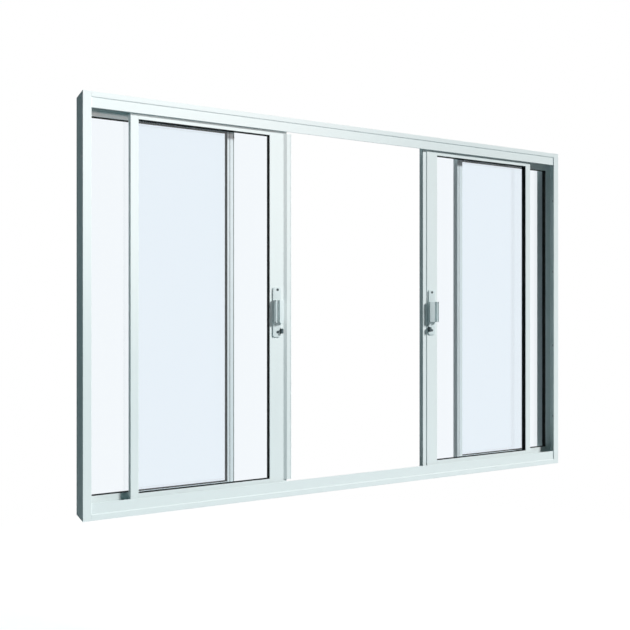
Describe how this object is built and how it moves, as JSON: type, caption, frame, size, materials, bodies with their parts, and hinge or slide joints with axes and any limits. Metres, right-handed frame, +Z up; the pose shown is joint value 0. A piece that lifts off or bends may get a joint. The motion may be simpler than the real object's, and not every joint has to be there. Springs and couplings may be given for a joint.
{
  "type": "horizontal sliding window",
  "caption": "Wide white aluminium sliding window with fixed outer panels in the rear track and latched middle panels that slide apart in the front track.",
  "frame": {"origin": "on the underside of the sill, at mid width and mid depth of the frame", "axes": "+X along the window to the right as seen from the room, +Y from the room to the outside, +Z up"},
  "size_m": [1.5, 0.0846, 1],
  "materials": {
    "frame_white": "white powder coat, satin",
    "glass": "clear float glass with a faint blue tint",
    "gasket": "matt black",
    "nylon": "moulded",
    "latch": "satin anodised",
    "button": "moulded black"
  },
  "bodies": {
    "frame": {"head_track": "frame_white", "sill_track": "frame_white", "left_jamb": "frame_white", "right_jamb": "frame_white", "left_fixed_jamb_stile": "frame_white", "left_fixed_interlock_stile": "frame_white", "left_fixed_top_rail": "frame_white", "left_fixed_bottom_rail": "frame_white", "left_fixed_glass": "glass", "left_fixed_gasket": "gasket", "left_fixed_packers": "nylon", "right_fixed_jamb_stile": "frame_white", "right_fixed_interlock_stile": "frame_white", "right_fixed_top_rail": "frame_white", "right_fixed_bottom_rail": "frame_white", "right_fixed_glass": "glass", "right_fixed_gasket": "gasket", "right_fixed_packers": "nylon"},
    "left_sash": {"left_sliding_interlock_stile": "frame_white", "left_sliding_meeting_stile": "frame_white", "left_sliding_top_rail": "frame_white", "left_sliding_bottom_rail": "frame_white", "left_sliding_glass": "glass", "left_sliding_gasket": "gasket", "left_sliding_guides": "nylon", "left_sliding_wheels": "nylon", "left_sliding_roller_housings": "nylon", "left_sliding_latch_plate": "latch", "left_sliding_latch_pull": "latch", "left_sliding_latch_button": "button"},
    "right_sash": {"right_sliding_interlock_stile": "frame_white", "right_sliding_meeting_stile": "frame_white", "right_sliding_top_rail": "frame_white", "right_sliding_bottom_rail": "frame_white", "right_sliding_glass": "glass", "right_sliding_gasket": "gasket", "right_sliding_guides": "nylon", "right_sliding_wheels": "nylon", "right_sliding_roller_housings": "nylon", "right_sliding_latch_plate": "latch", "right_sliding_latch_pull": "latch", "right_sliding_latch_button": "button"}
  },
  "joints": [
    {"name": "left_sash_slide", "type": "slide", "parent": "frame", "child": "left_sash", "axis": [1, 0, 0], "range_m": [-0.1, 0.2145]},
    {"name": "right_sash_slide", "type": "slide", "parent": "frame", "child": "right_sash", "axis": [-1, 0, 0], "range_m": [-0.1, 0.224]}
  ]
}
